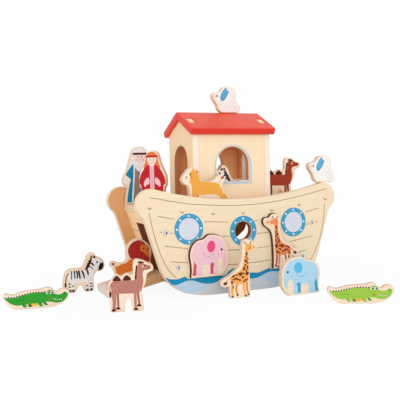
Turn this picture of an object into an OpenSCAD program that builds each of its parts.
// Toy ark of painted plywood: a slab-sided hull with a drop-down ramp, a deck house
// with a lift-off roof, two sorter animals in the front panel and standing figures.
// Millimetres. Origin on the floor under the middle of the hull, +X to the closed
// end, -Y to the printed front, +Z up.

/* [Hull panels] */
// Length of the hull over its round horns
hull_l = 340; // [310:1:380]
// Width of the hull over the two side panels
hull_w = 165; // [150:1:200]
// Thickness of the side panels
side_t = 12; // [9:0.5:15]
// Height of the rim at the middle of the hull
rim_z = 143; // [138:0.5:150]
// Radius of the round horn at each upper corner
horn_r = 23; // [19:0.5:26]
// Height of the horn centres
horn_z = 140; // [136:0.5:148]
// Distance from the end of the hull to the end of the flat keel
keel_inset = 125; // [120:1:140]
// Radius of the slow rise of the bottom edge
rise_r = 200; // [150:5:250]
// Angle at which the slow rise turns into the bilge
rise_angle = 13; // [10:0.5:16]
// Radius of the bilge at each lower corner
bilge_r = 64; // [56:1:70]
// Lean of the panel ends
end_lean = 17; // [14:0.5:20]
// Radius of the hollow under each horn
throat_r = 18; // [12:0.5:24]
// Diameter of the see-through porthole
porthole_d = 28.5; // [20:0.5:36]
// Height of the see-through porthole
porthole_z = 93.9; // [88:0.5:100]

/* [Deck, hull floor and end walls] */
// Height of the deck's top face
deck_z = 133.5; // [128:0.5:138]
// Thickness of the deck
deck_t = 11; // [8:0.5:12]
// Height of the hull floor's top face
floor_z = 23; // [22:0.5:26]
// Thickness of the hull floor
floor_t = 11; // [8:0.5:11]
// Thickness of the two end walls
end_t = 12; // [9:0.5:14]
// Lean of the two end walls
wall_lean = 18.8; // [15:0.1:21]
// Distance from the end of the hull to the end wall, at its top
wall_inset = 36.6; // [32:0.2:42]
// Width of the doorway in the left end wall
doorway_w = 67; // [60:0.5:90]
// Height of the doorway's head
doorway_z = 107.5; // [104:0.5:112]

/* [Ramp] */
// Length of the ramp from its pivot to its free end
ramp_l = 90; // [88:0.5:100]
// Thickness of the ramp
ramp_t = 12; // [9:0.5:14]
// Gap between the ramp and each side of the doorway
ramp_side_gap = 0.5; // [0.3:0.1:1.5]
// Diameter of the pivot rod
pivot_d = 5; // [3:0.5:6]
// Height of the pivot
pivot_z = 24.3; // [22:0.1:28]
// Depth of the pivot rod's seat in each side panel
pivot_seat = 6; // [3:0.5:7]
// Gap between the shut ramp and the end wall
ramp_wall_gap = 0.5; // [0.4:0.1:2]

/* [House] */
// Width of the house over its long walls
house_w = 102; // [96:1:108]
// Thickness of the house walls
house_t = 10; // [7:0.5:12]
// Width of the window opening
window_w = 56; // [40:1:70]
// Height of the window opening
window_h = 53; // [40:1:60]
// Height of the window sill above the deck
sill_h = 37; // [25:1:42]
// Width of the doors in the gable walls
gable_door_w = 56; // [40:1:60]
// Height of the doors in the gable walls
gable_door_h = 94; // [70:1:100]

/* [Roof] */
// Length of the roof along its ridge
roof_l = 145.6; // [141:0.2:148]
// How far the roof reaches past each gable wall
roof_overhang = 5.6; // [2:0.2:10]
// Span of the roof over its eaves
roof_w = 123.2; // [118:0.2:128]
// Thickness of the roof boards
roof_t = 11.5; // [9:0.5:12]
// Pitch of the roof
roof_pitch = 25.8; // [20:0.1:30]
// Height of the ridge
ridge_z = 280; // [274:0.5:286]
// Width of the flat along the ridge
ridge_flat = 6; // [4:0.5:10]
// Radius of the rounded eaves
eave_r = 2.5; // [1:0.5:3]
// Length of each gable tenon, measured level
tenon_l = 15.4; // [10:0.2:18]
// Distance of each tenon's middle from the ridge, measured level
tenon_y = 32.5; // [28:0.5:36]
// Depth of the tenon tops below the roof's face
tenon_recess = 1; // [0.5:0.1:3]

/* [Screws] */
// Diameter of the screw heads
head_d = 7; // [5:0.2:8]
// Height of the screw heads
head_h = 2; // [1.6:0.1:3]
// How far the heads stand out of the panels
head_proud = 0.4; // [0:0.1:0.8]
// Diameter of the screw shanks
shank_d = 3.5; // [2.5:0.1:4]
// Reach of the screws into the part behind
screw_reach = 18; // [12:1:24]
// Height of the upper panel screws
screw_hi_z = 98.4; // [92:0.2:104]
// Height of the lower panel screws
screw_lo_z = 46; // [42:0.5:54]

/* [Figures] */
// Thickness of the standing figures
fig_t = 10; // [7:0.5:10]
// Length of the pink elephant
elephant_l = 62.1; // [58:0.1:66]
// Height of the pink elephant
elephant_h = 62.5; // [57:0.5:64]
// Length of the blue elephant
blue_elephant_l = 67; // [58:0.5:72]
// Height of the blue elephant
blue_elephant_h = 57; // [50:0.5:64]
// Length of the floor giraffe
giraffe_l = 57.5; // [52:0.5:60]
// Length of the sorter giraffe
sorter_giraffe_l = 63.4; // [58:0.1:65]
// Height of the giraffes
giraffe_h = 86; // [76:0.5:88]
// Length of the camels
camel_l = 61.5; // [54:0.5:63]
// Height of the camels
camel_h = 71; // [62:0.5:76]
// Length of the zebras
zebra_l = 66.5; // [58:0.5:70]
// Height of the zebras
zebra_h = 61.5; // [52:0.5:62]
// Length of the crocodiles
crocodile_l = 90.5; // [80:0.5:100]
// Height of the crocodiles
crocodile_h = 28.5; // [24:0.5:34]
// Length of the doves
dove_l = 50; // [42:0.5:54]
// Height of the doves
dove_h = 43.4; // [36:0.2:48]
// Length of the lion
lion_l = 68.5; // [60:0.5:69]
// Height of the lion
lion_h = 60; // [54:0.5:61]
// Length of the lioness
lioness_l = 77.5; // [68:0.5:82]
// Height of the lioness
lioness_h = 58.5; // [52:0.5:62]
// Width of the bearded man
man_l = 59.4; // [52:0.2:64]
// Height of the bearded man
man_h = 94.4; // [84:0.2:100]
// Width of the woman
woman_l = 46.4; // [40:0.2:50]
// Height of the woman
woman_h = 86; // [76:0.5:94]

/* [Figure places] */
// Distance of the floor giraffe in front of the hull
giraffe_off = 32; // [20:0.5:50]
// Distance of the blue elephant in front of the hull
blue_elephant_off = 57.5; // [40:0.5:80]
// Distance of the light camel in front of the hull
camel_off = 34; // [20:0.5:50]
// Distance of the light camel past the left end of the hull
camel_out = 27.5; // [15:0.5:40]
// Distance of the green crocodile in front of the hull's middle
green_crocodile_off = 35; // [0:1:60]
// Distance of the green crocodile past the left end of the hull
green_crocodile_out = 141.5; // [120:0.5:180]
// Distance of the lime crocodile in front of the hull
lime_crocodile_off = 144.5; // [120:0.5:180]
// Distance of the floor zebra behind the ramp
floor_zebra_off = 10; // [7:0.5:30]
// Distance of the floor zebra past the left end of the hull
floor_zebra_out = 58; // [40:1:80]
// Distance of the lioness from the left end of the house
lioness_in = 12; // [0:0.5:20]
// Gap between the house walls and the animals beside them
house_gap = 3; // [1:0.5:5]
// Distance of the house zebra from the right end of the house
house_zebra_in = 56; // [50:1:60]
// Distance of the dark camel past the right end of the house
dark_camel_out = 28.5; // [28:0.5:34]
// Distance of the dark camel in front of the hull's middle
dark_camel_off = 28; // [20:0.5:32]
// Distance of the man and the woman from the middle of the left deck
people_out = 12.5; // [8:0.5:14]
// Gap between the man and the rear panel
man_gap = 2.5; // [1:0.5:6]
// Distance of the woman in front of the hull's middle
woman_off = 8; // [0:0.5:12]
// Distance of the lion from the pivot, up the ramp
lion_run = 49.6; // [48:0.2:51]
// Distance of the lion in front of the hull's middle
lion_off = 8; // [0:0.5:12]
// Height of the pink elephant's cut-out
pink_elephant_z = 29.6; // [28:0.2:32]
// Height of the sorter giraffe's cut-out
sorter_giraffe_z = 31.5; // [30:0.2:34]
// How far the sorter animals stand out of the front panel
sorter_proud = 5; // [0:0.5:6]

/* [Fits] */
// Gap round each sorter animal in its cut-out
sorter_gap = 0.8; // [0.4:0.1:1.5]
// Gap round each tenon in its roof slot
slot_gap = 0.4; // [0.3:0.1:1]
// Gap under the roof and under the figures that stand on the ark
rest_gap = 0.3; // [0.2:0.1:0.5]
// Radial gap between the pivot rod and the ramp
pivot_gap = 0.08; // [0.02:0.01:0.1]
// Radial gap round the screw heads
head_gap = 0.2; // [0.1:0.1:0.5]
// Radial gap round the screw shanks and the fixed rod ends
fix_gap = 0.05; // [0.02:0.01:0.1]

/* [Hidden] */
$fn = 48;

// How far a cut runs past the faces it opens
past = 1;
// Half sizes and faces used by several parts
half_l = hull_l / 2;
front_y = -hull_w / 2;
inner_y = hull_w / 2 - side_t;
deck_under = deck_z - deck_t;
wall_foot = floor_z - floor_t;
half_house = roof_l / 2 - roof_overhang;
long_wall_y = house_w / 2;
wall_half_x = end_t / 2 / cos(wall_lean);

// Curves
function arc(c, r, from, to, n) =
  [for (i = [0:n]) let (a = from + (to - from) * i / n) c + r * [cos(a), sin(a)]];
function flipped(p) = [for (i = [len(p) - 1:-1:0]) [-p[i][0], p[i][1]]];
function between(a, b, c, d, t) =
  0.5 * (2 * b + (c - a) * t + (2 * a - 5 * b + 4 * c - d) * t * t
         + (3 * b - a - 3 * c + d) * t * t * t);
function before(p, i) = i == 0 ? 2 * p[0] - p[1] : p[i - 1];
function after(p, i) = i + 2 > len(p) - 1 ? 2 * p[len(p) - 1] - p[len(p) - 2] : p[i + 2];
curve_steps = 4;
function curve(p) = concat(
  [for (i = [0:len(p) - 2], k = [0:curve_steps - 1])
    between(before(p, i), p[i], p[i + 1], after(p, i), k / curve_steps)],
  [p[len(p) - 1]]);
function grown(p, d) =
  [for (i = [0:len(p) - 1])
    let (t = p[(i + 1) % len(p)] - p[(i + len(p) - 1) % len(p)])
      p[i] + d * [t[1], -t[0]] / norm(t)];
function to_size(p, l, h) =
  let (x = [for (q = p) q[0]], k = l / (max(x) - min(x)), m = h / max([for (q = p) q[1]]))
    [for (q = p) [q[0] * k, q[1] * m]];

// Side panel outline: keel, rise, bilge, leaning end, hollow, horn and rim
keel = half_l - keel_inset;
rise_c = [keel, rise_r];
bilge_c = rise_c + (rise_r - bilge_r) * [sin(rise_angle), -cos(rise_angle)];
end_out = [cos(end_lean), -sin(end_lean)];
end_up = [sin(end_lean), cos(end_lean)];
horn_c = [half_l - horn_r, horn_z];
throat_from = bilge_c + (bilge_r + throat_r) * end_out - horn_c;
throat_b = throat_from * end_up;
throat_q = pow(throat_b, 2) - throat_from * throat_from + pow(horn_r + throat_r, 2);
throat_c = horn_c + throat_from - (throat_b + sqrt(throat_q)) * end_up;
throat_dir = horn_c - throat_c;
throat_a = atan2(throat_dir[1], throat_dir[0]);
rim_drop = rim_z - horn_z;
rim_r = (pow(horn_c[0], 2) + pow(rim_drop, 2) - pow(horn_r, 2)) / (2 * (horn_r - rim_drop));
rim_c = [0, rim_z + rim_r];
rim_a = atan2(horn_c[1] - rim_c[1], horn_c[0]);
half_panel = concat(
  [[keel, 0]],
  arc(rise_c, rise_r, -90, rise_angle - 90, 6),
  arc(bilge_c, bilge_r, rise_angle - 90, -end_lean, 16),
  arc(throat_c, throat_r, 180 - end_lean, throat_a, 8),
  arc(horn_c, horn_r, throat_a - 180, rim_a + 180, 36),
  arc(rim_c, rim_r, rim_a, -90, 12));
panel_outline = concat(
  [for (i = [1:len(half_panel) - 1]) half_panel[i]],
  flipped([for (i = [1:len(half_panel) - 2]) half_panel[i]]));

// End walls and deck
function wall_x(z) = half_l - wall_inset - (deck_under - z) * tan(wall_lean);
deck_half_l = wall_x(deck_z - deck_t / 2) + wall_half_x;

// Ramp: it leans from the pivot to the floor
wall_off = ramp_t / 2 + ramp_wall_gap;
pivot_x = -(wall_x(pivot_z) + (end_t / 2 + wall_off) / cos(wall_lean));
ramp_slope = asin(pivot_z / norm([ramp_l, ramp_t / 2])) - atan(ramp_t / 2 / ramp_l);
ramp_half_w = doorway_w / 2 - ramp_side_gap;

// Roof section, run down the slope and in from its face
ridge_apex = ridge_z + ridge_flat / 2 * tan(roof_pitch);
function slope_at(run, depth) =
  [-run * cos(roof_pitch) + depth * sin(roof_pitch),
   ridge_apex - run * sin(roof_pitch) - depth * cos(roof_pitch)];
eave_run = roof_w / 2 / cos(roof_pitch);
function roof_under(y) = ridge_apex - roof_t / cos(roof_pitch) - abs(y) * tan(roof_pitch);
function gable_top(y) = roof_under(y) - rest_gap;
function tenon_top(y) =
  ridge_apex - tenon_recess / cos(roof_pitch) - abs(y) * tan(roof_pitch);
tenon_in = tenon_y - tenon_l / 2;
tenon_out = tenon_y + tenon_l / 2;

// Screws
upper_screw = [wall_x(screw_hi_z), screw_hi_z];
lower_screw = [wall_x(screw_lo_z), screw_lo_z];
house_screw_y = (gable_door_w / 2 + long_wall_y) / 2;
house_screw_x = half_house - house_t / 2;

// Figure outlines facing right, from the right foot over the head to the left foot
elephant_line = to_size(curve([
  [20.5, 0], [25.5, 5], [30, 12], [32, 20], [32.6, 29], [31.8, 38], [30, 46.5], [26.5, 53],
  [20, 58.7], [13, 61.5], [7, 62.4], [2.5, 62.5], [-1.2, 61.2], [-3.8, 59.2], [-6.4, 57],
  [-10, 55.8], [-15, 55.2], [-19.5, 53.5], [-23.8, 49.6], [-26.8, 45], [-28.8, 39],
  [-29.5, 32.5], [-28.7, 26], [-27.6, 18], [-27.3, 10], [-28.6, 0]]), elephant_l, elephant_h);
blue_elephant_line = to_size(elephant_line, blue_elephant_l, blue_elephant_h);
giraffe_line = to_size(curve([
  [15.7, 0], [16, 10], [15.7, 30], [15.3, 50], [15.7, 66], [19, 68.4], [24.7, 69.2],
  [27.6, 71.9], [28, 75.2], [26.8, 78.5], [22.6, 80.5], [19, 84], [11.5, 86], [7.3, 84.5],
  [4.5, 80.5], [3.9, 70], [2.5, 56.6], [-1, 46], [-8.7, 38.7], [-17, 32.7], [-25, 29],
  [-29, 25.6], [-29.4, 21.4], [-26.6, 17.6], [-21.5, 16.7], [-17.4, 18], [-16, 13],
  [-15.6, 0]]),
  giraffe_l, giraffe_h);
sorter_giraffe_line = to_size(curve([
  [16.8, 0], [16.3, 10], [16.1, 20], [16.4, 32], [17.2, 44], [19, 54.6], [21.4, 60],
  [25, 63.8], [29.4, 67], [32.6, 69.8], [34, 74], [33.6, 78], [31, 80.2], [26.5, 80.4],
  [23, 81.3], [21.4, 83.8], [18.6, 85.7], [15, 86], [10.5, 85.2], [7, 82.5], [4.6, 77],
  [3.7, 69], [2.5, 56.6], [-1, 46], [-8.7, 38.7], [-17, 32.7], [-25, 29], [-29, 25.6],
  [-29.4, 21.4], [-26.6, 17.6], [-21.5, 16.7], [-17.4, 18], [-16, 13], [-15.6, 0]]),
  sorter_giraffe_l, giraffe_h);
camel_line = to_size(concat(
  curve([[-3.5, 0], [-2.2, 14], [1.7, 19.5], [5.6, 14], [7, 0]]),
  curve([
    [21.8, 0], [22.2, 6.5], [20.7, 20], [20.4, 28], [24.8, 37.6], [26.7, 45], [27.4, 51],
    [30, 54], [35.2, 56.8], [36.6, 61.3], [34.4, 65], [29.2, 67.2], [23.3, 71], [17.4, 73],
    [13, 73.5], [10, 71], [8.9, 64], [8.9, 55.5], [6.5, 52.3], [0.4, 54.3], [-7.4, 50.5],
    [-12.9, 53.5], [-16.6, 51.7], [-19.6, 47], [-23.3, 42], [-24.8, 34.7], [-24.8, 23.6],
    [-23, 15], [-22.9, 5], [-22, 0]])), camel_l, camel_h);
zebra_line = to_size(concat(
  curve([[-7, 0], [-4, 4.5], [-1.5, 9], [2.5, 10.5], [5.5, 8], [9, 0]]),
  curve([
    [21, 0], [23, 5], [22.5, 17], [25, 25.5], [28, 29.5], [33.5, 29.5], [39, 32], [41, 38.5],
    [39, 45], [33, 50.3], [27.5, 52.5], [25, 56.5], [21, 58.2], [16.5, 56], [13, 52],
    [9.7, 44], [5.7, 37.5], [0, 35.6], [-7, 36.5], [-16, 35], [-21, 31], [-23.3, 24],
    [-25.4, 15.5], [-25, 8.5], [-22, 0]])), zebra_l, zebra_h);
crocodile_line = to_size(curve([
  [22, 0], [30, 1], [40, 4], [48.5, 9], [53.5, 15], [55, 21.5], [51, 26], [46, 27.2],
  [41, 26], [36.5, 22.5], [32, 24], [29, 28], [24, 30], [18, 29.5], [13, 27.8], [-4, 27],
  [-17, 25], [-28, 22], [-38, 24.5], [-41, 21], [-39.5, 14], [-34, 7.5], [-27, 2], [-20, 0]]),
  crocodile_l, crocodile_h);
dove_line = to_size(flipped(curve([
  [18.5, 0], [23.6, 3.6], [23.6, 10], [20.5, 15.5], [17, 23], [17.3, 30.5], [16.5, 37],
  [11.5, 41.5], [2, 43.4], [-6, 41.5], [-11, 36], [-15, 33.6], [-21, 32.8], [-25, 30],
  [-25.3, 24.5], [-21, 17], [-17.4, 11.8], [-15.5, 4.9], [-9, 0]])), dove_l, dove_h);
lion_line = to_size(concat(
  curve([[0, 0], [2.5, 7], [8.5, 10], [14.5, 8], [17, 0]]),
  curve([
    [33, 0], [35, 6], [36.5, 14], [41.5, 21.5], [45.5, 31], [46.5, 40], [43.5, 48],
    [39, 53.5], [33.5, 58.5], [26, 60], [17.5, 57.5], [10.5, 51.5], [6.5, 44], [6, 36],
    [2, 30.5], [-6, 30.5], [-12, 34.5], [-17.5, 36.5], [-21.5, 34.5], [-22, 30], [-19, 25],
    [-17.5, 17], [-17, 8], [-15, 0]])), lion_l, lion_h);
lioness_line = to_size(concat(
  curve([[-24, 0], [-21, 6.5], [-8, 9.5], [4, 8], [8, 0]]),
  curve([
    [25.5, 0], [25.3, 16], [26, 25], [28.5, 31.5], [33.5, 33.5], [37.5, 39], [37, 43.5],
    [34, 48], [29.5, 53.5], [25, 57.8], [20, 59], [14, 57.5], [9, 54.5], [8.5, 48],
    [7, 41.5], [1.3, 38], [-7.5, 37.2], [-15, 39.5], [-22.5, 45.5], [-28.5, 47],
    [-33.5, 44], [-34.5, 38.5], [-31, 33], [-28.5, 28], [-31, 21.5], [-36, 16], [-39, 9],
    [-40, 0]])), lioness_l, lioness_h);
man_half = [
  [26, 0], [25.3, 5], [23.7, 17], [22.5, 28], [26, 29.5], [29, 33], [29.7, 39], [27.5, 46.8],
  [24, 53], [21, 62.6], [18.5, 70], [16, 77], [13.8, 83.4], [11.3, 89.7], [6.8, 93.2]];
man_line = to_size(curve(concat(man_half, [[0, 94.4]], flipped(man_half))), man_l, man_h);
woman_half = [
  [22, 0], [21, 12], [19.2, 24.6], [22.3, 32.3], [23.2, 40], [21.8, 48.9], [18.5, 56.6],
  [14.5, 64.4], [12.2, 71.5], [10.5, 78.6], [6.3, 84]];
woman_line = to_size(curve(concat(woman_half, [[0, 86]], flipped(woman_half))), woman_l, woman_h);

// Where the figures stand: x, y and the turn about the upright
pink_elephant_at = [-half_l * 0.3624, pink_elephant_z];
sorter_giraffe_at = [half_l * 0.3906, sorter_giraffe_z];
sorter_y = front_y - sorter_proud + fig_t / 2;
rear_elephant_at = [half_l * 0.3624, pink_elephant_z];
rear_giraffe_at = [-half_l / 2, sorter_giraffe_z];
house_fig_y = house_t + fig_t / 2 + house_gap - long_wall_y;
left_deck_x = -(deck_half_l + half_house) / 2;
floor_giraffe_at = [-half_l * 0.15, front_y - giraffe_off, -8];
blue_elephant_at = [half_l * 0.38, front_y - blue_elephant_off, 0];
light_camel_at = [-half_l - camel_out, front_y - camel_off, -15];
green_crocodile_at = [-half_l - green_crocodile_out, -green_crocodile_off, -9];
lime_crocodile_at = [half_l * 0.575, front_y - lime_crocodile_off, -28];
floor_zebra_at = [-half_l - floor_zebra_out, ramp_half_w + floor_zebra_off, 0];
lioness_at = [lioness_in - half_house, -(long_wall_y + inner_y) / 2, 0];
house_zebra_at = [half_house - house_zebra_in, house_fig_y, 0];
man_at = [left_deck_x - people_out, inner_y - fig_t / 2 - man_gap, 0];
woman_at = [left_deck_x - people_out, -woman_off, -45];
dark_camel_at = [half_house + dark_camel_out, -dark_camel_off, -20];
horn_dove_at = [horn_c[0], -(hull_w - side_t) / 2, 0];
roof_dove_at = [roof_l * 0.1, 0, 0];

// Shared shapes
module upright(outline, thick) {
  translate([0, thick / 2, 0])
    rotate([90, 0, 0])
      linear_extrude(thick)
        polygon(outline);
}

module figure(place, z, outline) {
  translate([place[0], place[1], z])
    rotate(place[2])
      upright(outline, fig_t);
}

module arched(w, h) {
  translate([-w / 2, 0])
    square([w, h - w / 2]);
  translate([0, h - w / 2])
    circle(d = w);
}

module screw(length) {
  difference() {
    cylinder(d = head_d, h = head_h);
    for (turn = [0, 90])
      rotate(turn)
        translate([-head_d * 0.36, -head_d * 0.1, -past])
          cube([head_d * 0.72, head_d * 0.2, past + head_h * 0.5]);
  }
  translate([0, 0, head_h])
    cylinder(d = shank_d, h = length - head_h);
}

module screw_hole(length) {
  translate([0, 0, -past])
    cylinder(r = head_d / 2 + head_gap, h = past + head_h);
  cylinder(r = shank_d / 2 + fix_gap, h = length + past);
}

// Turns a part drawn along +Z into the front panel at each of its four screws
module at_panel_screws() {
  for (side = [-1, 1], p = [upper_screw, lower_screw])
    translate([side * p[0], front_y - head_proud, p[1]])
      rotate([-90, 0, 0])
        children();
}

module at_house_screws() {
  for (sx = [-1, 1], sy = [-1, 1])
    translate([sx * house_screw_x, sy * house_screw_y, deck_under])
      children();
}

panel_screw_l = head_proud + side_t + screw_reach;
house_screw_l = deck_t + screw_reach;

// The panel, its porthole, the two sorter cut-outs, screw holes and rod seat
module side_panel(rod_side, cut_outs) {
  color("#ead9bb")
    difference() {
      translate([0, front_y + side_t / 2, 0])
        upright(panel_outline, side_t);
      translate([0, front_y - past, porthole_z])
        rotate([-90, 0, 0])
          cylinder(d = porthole_d, h = side_t + 2 * past);
      for (animal = cut_outs)
        translate([animal[1][0], front_y + side_t / 2, animal[1][1]])
          upright(grown(animal[0], sorter_gap), side_t + 2 * past);
      at_panel_screws()
        screw_hole(panel_screw_l);
      translate([rod_side * pivot_x, -inner_y - pivot_seat, pivot_z])
        rotate([-90, 0, 0])
          cylinder(r = pivot_d / 2 + fix_gap, h = pivot_seat + past);
    }
}

module front_side_panel() {
  side_panel(1, [
    [elephant_line, pink_elephant_at],
    [flipped(sorter_giraffe_line), sorter_giraffe_at]]);
}

module rear_side_panel() {
  rotate(180)
    side_panel(-1, [
      [flipped(blue_elephant_line), rear_elephant_at],
      [flipped(giraffe_line), rear_giraffe_at]]);
}

module panel_screws() {
  color("#c9c9c6")
    at_panel_screws()
      screw(panel_screw_l);
}

module front_panel_screws() {
  panel_screws();
}

module rear_panel_screws() {
  rotate(180)
    panel_screws();
}

module deck_board() {
  color("#e6d2ae")
    difference() {
      translate([-deck_half_l, -inner_y, deck_under])
        cube([2 * deck_half_l, 2 * inner_y, deck_t]);
      at_house_screws()
        screw_hole(house_screw_l);
    }
}

module hull_floor() {
  top = wall_x(floor_z) - wall_half_x;
  foot = wall_x(wall_foot) - wall_half_x;
  color("#e6d2ae")
    upright([[-foot, wall_foot], [foot, wall_foot], [top, floor_z], [-top, floor_z]],
            2 * inner_y);
}

// Closed end at +X; the other end is its mirror image with a doorway
module end_wall() {
  foot = wall_x(wall_foot);
  top = wall_x(deck_under);
  difference() {
    upright([
      [foot - wall_half_x, wall_foot], [foot + wall_half_x, wall_foot],
      [top + wall_half_x, deck_under], [top - wall_half_x, deck_under]], 2 * inner_y);
    for (turn = [0, 180])
      rotate(turn)
        at_panel_screws()
          screw_hole(panel_screw_l);
  }
}

module closed_end_wall() {
  color("#e3cda6")
    end_wall();
}

module doorway_end_wall() {
  sill_z = floor_z - end_t / 2 * sin(wall_lean);
  door_h = (doorway_z - sill_z) / cos(wall_lean);
  color("#e3cda6")
    difference() {
      mirror([1, 0, 0])
        end_wall();
      translate([-wall_x(sill_z), 0, sill_z])
        rotate([0, -wall_lean, 0])
          translate([-end_t, -doorway_w / 2, 0])
            cube([2 * end_t, doorway_w, door_h]);
    }
}

// Places a part drawn along -X from the pivot on the lowered ramp
module on_ramp() {
  translate([pivot_x, 0, pivot_z])
    rotate([0, -ramp_slope, 0])
      children();
}

module boarding_ramp() {
  color("#dcc193")
    on_ramp()
      difference() {
        union() {
          translate([-ramp_l, -ramp_half_w, -ramp_t / 2])
            cube([ramp_l, 2 * ramp_half_w, ramp_t]);
          translate([0, ramp_half_w, 0])
            rotate([90, 0, 0])
              cylinder(d = ramp_t, h = 2 * ramp_half_w);
        }
        translate([0, ramp_half_w + past, 0])
          rotate([90, 0, 0])
            cylinder(r = pivot_d / 2 + pivot_gap, h = 2 * (ramp_half_w + past));
      }
}

module ramp_pivot_rod() {
  rod_half = inner_y + pivot_seat;
  color("#d9d2c4")
    translate([pivot_x, rod_half, pivot_z])
      rotate([90, 0, 0])
        cylinder(d = pivot_d, h = 2 * rod_half);
}

// Gable wall at +X, its tenons reaching into the roof slots
module gable_wall() {
  half = [
    [long_wall_y, deck_z], [long_wall_y, gable_top(long_wall_y)],
    [tenon_out, gable_top(tenon_out)], [tenon_out, tenon_top(tenon_out)],
    [tenon_in, tenon_top(tenon_in)], [tenon_in, gable_top(tenon_in)]];
  color("#ecdcc0")
    difference() {
      translate([half_house - house_t, 0, 0])
        rotate([90, 0, 90])
          linear_extrude(house_t)
            difference() {
              polygon(concat(half, [[0, gable_top(0)]], flipped(half)));
              translate([0, deck_z - past])
                arched(gable_door_w, gable_door_h + past);
            }
      at_house_screws()
        screw_hole(house_screw_l);
    }
}

module right_gable_wall() {
  gable_wall();
}

module left_gable_wall() {
  rotate(180)
    gable_wall();
}

// Long wall on the front side, between the gable walls
module long_wall() {
  top = gable_top(long_wall_y) - deck_z;
  inside = half_house - house_t;
  color("#ecdcc0")
    translate([0, -long_wall_y + house_t, deck_z])
      rotate([90, 0, 0])
        linear_extrude(house_t)
          difference() {
            translate([-inside, 0])
              square([2 * inside, top]);
            translate([0, sill_h])
              arched(window_w, window_h);
          }
}

module house_front_wall() {
  long_wall();
}

module house_rear_wall() {
  rotate(180)
    long_wall();
}

module house_screws() {
  color("#c9c9c6")
    at_house_screws()
      screw(house_screw_l);
}

// Front slope of the roof, mitred at the ridge, with a slot for each gable tenon
module roof_slope() {
  section = concat(
    [[0, roof_under(0)], [0, ridge_z], [-ridge_flat / 2, ridge_z]],
    [for (p = arc([eave_run - eave_r, eave_r], eave_r, -90, 0, 5)) slope_at(p[0], p[1])],
    [for (p = arc([eave_run - eave_r, roof_t - eave_r], eave_r, 0, 90, 5))
      slope_at(p[0], p[1])]);
  slot = [house_t + 2 * slot_gap, tenon_l + 2 * slot_gap];
  color("#df4636")
    difference() {
      translate([-roof_l / 2, 0, 0])
        rotate([90, 0, 90])
          linear_extrude(roof_l)
            polygon(section);
      for (side = [-1, 1])
        translate([side * house_screw_x - slot[0] / 2, -tenon_y - slot[1] / 2, deck_z])
          cube([slot[0], slot[1], ridge_z]);
    }
}

module roof_front_slope() {
  roof_slope();
}

module roof_rear_slope() {
  rotate(180)
    roof_slope();
}

module roof_dove() {
  color("#f4efe8")
    figure(roof_dove_at, ridge_z + rest_gap, flipped(dove_line));
}

module horn_dove() {
  color("#f4efe8")
    figure(horn_dove_at, horn_z + horn_r + rest_gap, flipped(dove_line));
}

module bearded_man() {
  color("#1a7fa3")
    figure(man_at, deck_z + rest_gap, man_line);
}

module robed_woman() {
  color("#bd2a2c")
    figure(woman_at, deck_z + rest_gap, woman_line);
}

module lioness() {
  color("#efab4b")
    figure(lioness_at, deck_z + rest_gap, flipped(lioness_line));
}

module lion() {
  color("#cc6b2b")
    on_ramp()
      figure([-lion_run, -lion_off, 0], ramp_t / 2 + rest_gap, lion_line);
}

module house_zebra() {
  color("#dcdde0")
    figure(house_zebra_at, deck_z + rest_gap, flipped(zebra_line));
}

module floor_zebra() {
  color("#dcdde0")
    figure(floor_zebra_at, 0, zebra_line);
}

module light_camel() {
  color("#bf8072")
    figure(light_camel_at, 0, camel_line);
}

module dark_camel() {
  color("#9c3226")
    figure(dark_camel_at, deck_z + rest_gap, camel_line);
}

module green_crocodile() {
  color("#33a43c")
    figure(green_crocodile_at, 0, crocodile_line);
}

module lime_crocodile() {
  color("#9ccb52")
    figure(lime_crocodile_at, 0, crocodile_line);
}

module pink_elephant() {
  color("#e9c3da")
    figure([pink_elephant_at[0], sorter_y, 0], pink_elephant_at[1], elephant_line);
}

module blue_elephant() {
  color("#a9d6f0")
    figure(blue_elephant_at, 0, flipped(blue_elephant_line));
}

module sorter_giraffe() {
  color("#ee8452")
    figure([sorter_giraffe_at[0], sorter_y, 0], sorter_giraffe_at[1], flipped(sorter_giraffe_line));
}

module floor_giraffe() {
  color("#efa155")
    figure(floor_giraffe_at, 0, giraffe_line);
}

front_side_panel();
rear_side_panel();
deck_board();
hull_floor();
doorway_end_wall();
closed_end_wall();
boarding_ramp();
ramp_pivot_rod();
front_panel_screws();
rear_panel_screws();
left_gable_wall();
right_gable_wall();
house_front_wall();
house_rear_wall();
house_screws();
roof_front_slope();
roof_rear_slope();
roof_dove();
horn_dove();
bearded_man();
robed_woman();
lioness();
lion();
house_zebra();
floor_zebra();
light_camel();
dark_camel();
green_crocodile();
lime_crocodile();
pink_elephant();
blue_elephant();
sorter_giraffe();
floor_giraffe();
